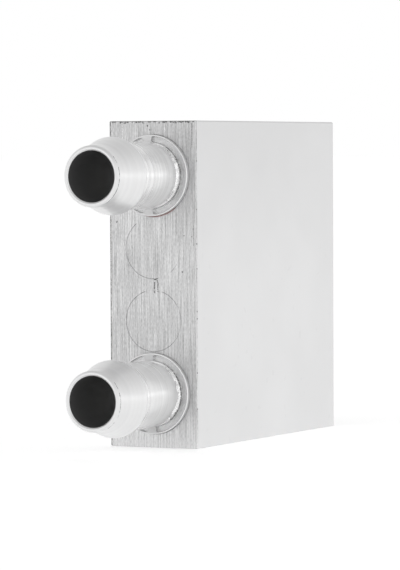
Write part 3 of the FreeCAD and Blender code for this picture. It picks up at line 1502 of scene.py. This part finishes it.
@dataclass
class SawnEnds(OnSolid):
    """The ragged edges of the front end of the bar."""

    def strips(self) -> list[tuple[RaggedStrip, Material]]:
        """Each ragged edge and its finish.

        Returns:
            The top, the left and the right edge.
        """
        low, high = self.low, self.high
        end_gap, side_inset, top_inset = 0.12 * MM, 0.10 * MM, 0.07 * MM
        top, foot = high.z - top_inset, low.z + end_gap
        left_x, right_x = low.x + side_inset, high.x - side_inset
        down, right, left = Vector((0, 0, -1)), Vector((1, 0, 0)), Vector((-1, 0, 0))
        edges = [
            straight_edge(Vector((start_x, low.y, start_z)), Vector((end_x, low.y, top)), across, FORWARD)
            for start_x, start_z, end_x, across in (
                (low.x + end_gap, top, high.x - end_gap, down),
                (left_x, foot, left_x, right),
                (right_x, foot, right_x, left))]
        return [
            # The top and left burrs are ragged metal painted near-black: painted shade along the sawn edges.
            (RaggedStrip("burr_top", edges[0], 0.21 * MM, 0.08 * MM, 0.58, 0.17 * MM), self.finishes.torn_and_painted_shade),
            (RaggedStrip("burr_left", edges[1], 0.15 * MM, 0.05 * MM), self.finishes.torn_and_painted_shade),
            (RaggedStrip("burr_right", edges[2], 0.10 * MM, 0.05 * MM), self.finishes.turned),
        ]

    def make(self) -> list[Object]:
        """Build each ragged edge."""
        return [new_piece(strip.name, strip.mesh(), (finish,)) for strip, finish in self.strips()]


# ---------------------------------------------------------------- stage, light and camera


@dataclass(frozen=True)
class Studio:
    """Plain pale floor under soft, even light."""

    floor_size: float = 60.0
    floor_colour: Colour = grey(0.94, 0.0)
    floor_roughness: float = 0.9
    floor_lift: float = 0.38
    horizon: float = 1.0
    zenith: float = 0.47
    fade_start: float = 0.12
    key_place: tuple[float, float, float] = (-0.30, -0.75, 0.35)
    fill_place: tuple[float, float, float] = (0.85, -0.15, 0.25)
    key_power: float = 0.32
    key_size: float = 0.6
    strip_place: tuple[float, float, float] = (0.66, 0.62, 0.02)
    strip_power: float = 0.16
    strip_width: float = 1.0
    strip_height: float = 0.12

    def make(self) -> None:
        """Build the floor, the world and the lamps."""
        self._floor()
        self._world()
        self._lamp("key_lamp", self.key_place, self.key_power, (self.key_size, self.key_size))
        self._lamp("fill_lamp", self.fill_place, self.key_power, (self.key_size, self.key_size))
        self._lamp("strip_lamp", self.strip_place, self.strip_power, (self.strip_width, self.strip_height))

    def _floor(self) -> None:
        """A wide floor under the block, white as seen except in the block's shadow."""
        build = bmesh.new()
        bmesh.ops.create_grid(build, x_segments=1, y_segments=1, size=self.floor_size)
        mesh = mesh_of(build, "studio_floor")
        floor = linked_object("studio_floor", mesh)
        floor.location.z = CAD_BOX[0].z
        sheet, material, shader = new_material("studio_floor")
        shader.inputs["Base Color"].default_value = self.floor_colour
        shader.inputs["Roughness"].default_value = self.floor_roughness
        shader.inputs["Specular IOR Level"].default_value = 0.0
        shader.inputs["Emission Color"].default_value = WHITE
        rays = sheet.add("ShaderNodeLightPath").outputs
        seen = sheet.math("MAXIMUM", sheet.math("MAXIMUM", rays["Is Camera Ray"], rays["Is Glossy Ray"]),
                          rays["Is Transmission Ray"])
        sheet.feed(shader.inputs["Emission Strength"], sheet.math("MULTIPLY", seen, self.floor_lift))
        material.cycles.emission_sampling = "NONE"
        mesh.materials.append(material)

    def _world(self) -> None:
        """White all round the horizon and softer overhead."""
        world = bpy.data.worlds.new("studio_world")
        world.use_nodes = True
        world.node_tree.nodes.clear()
        sheet = NodeSheet(world.node_tree)
        output = sheet.add("ShaderNodeOutputWorld")
        background = sheet.add("ShaderNodeBackground")
        height = sheet.along("Z", "Generated")
        level = sheet.remap(height, (self.fade_start, 1.0), (self.horizon, self.zenith))
        sheet.feed(background.inputs["Strength"], level)
        background.inputs["Color"].default_value = WHITE
        sheet.feed(output.inputs["Surface"], background.outputs[0])
        bpy.context.scene.world = world

    @staticmethod
    def _lamp(name: str, place: Sequence[float], power: float, size: tuple[float, float]) -> None:
        """A soft lamp that looks at the middle of the block.

        Args:
            name: the lamp's name.
            place: from the middle of the block to the lamp.
            power: in watts.
            size: width and height in metres.
        """
        low, high = CAD_BOX
        offset = Vector(place)
        light = bpy.data.lights.new(name, "AREA")
        light.energy = power
        light.shape = "RECTANGLE"
        light.size, light.size_y = size
        lamp = linked_object(name, light)
        lamp.location = (low + high) / 2 + offset
        lamp.rotation_euler = (-offset).to_track_quat("-Z", "Y").to_euler()


@dataclass(frozen=True)
class Viewpoint:
    """The camera, placed by its direction and distance from the middle of the block."""

    azimuth: float = 26.62
    elevation: float = 2.15
    distance: float = 447.3 * MM
    aim_offset: tuple[float, float, float] = (0.32 * MM, 0.1 * MM, -0.48 * MM)
    roll: float = -0.245
    focal_length: float = 225.5
    clip: tuple[float, float] = (0.01, 20.0)

    def make(self) -> None:
        """Build the camera and make it the scene's."""
        low, high = CAD_BOX
        aim = (low + high) / 2 + Vector(self.aim_offset)
        azimuth, elevation = math.radians(self.azimuth), math.radians(self.elevation)
        back = Vector((math.sin(azimuth) * math.cos(elevation),
                       -math.cos(azimuth) * math.cos(elevation), math.sin(elevation)))
        camera_data = bpy.data.cameras.new("view_camera")
        camera_data.lens = self.focal_length
        camera_data.clip_start, camera_data.clip_end = self.clip
        camera = linked_object("view_camera", camera_data)
        turned = (-back).to_track_quat("-Z", "Y").to_matrix().to_4x4()
        camera.matrix_world = (Matrix.Translation(aim + back * self.distance) @ turned
                               @ Matrix.Rotation(math.radians(self.roll), 4, "Z"))
        bpy.context.scene.camera = camera


def main() -> None:
    """Build the finishes, the pieces, the studio and the view, in that order."""
    logging.basicConfig(level=logging.INFO, format="%(message)s")
    view = bpy.context.scene.view_settings
    view.view_transform = "Standard"
    finishes = FinishSet.build()
    builders = (
        ChannelBlock("block_body", finishes),
        SawnEnds("block_body", finishes),
        HoseNozzle("inlet_nozzle", finishes, upper_lean=6.0, lower_lean=4.0, compound_span=(-103.0, -51.0)),
        HoseNozzle("outlet_nozzle", finishes, upper_lean=5.0),
    )
    for builder in builders:
        for piece in builder.make():
            LOG.info("%s: %d faces", piece.name, len(piece.data.polygons))
    Studio().make()
    Viewpoint().make()


if __name__ == "__main__":
    main()
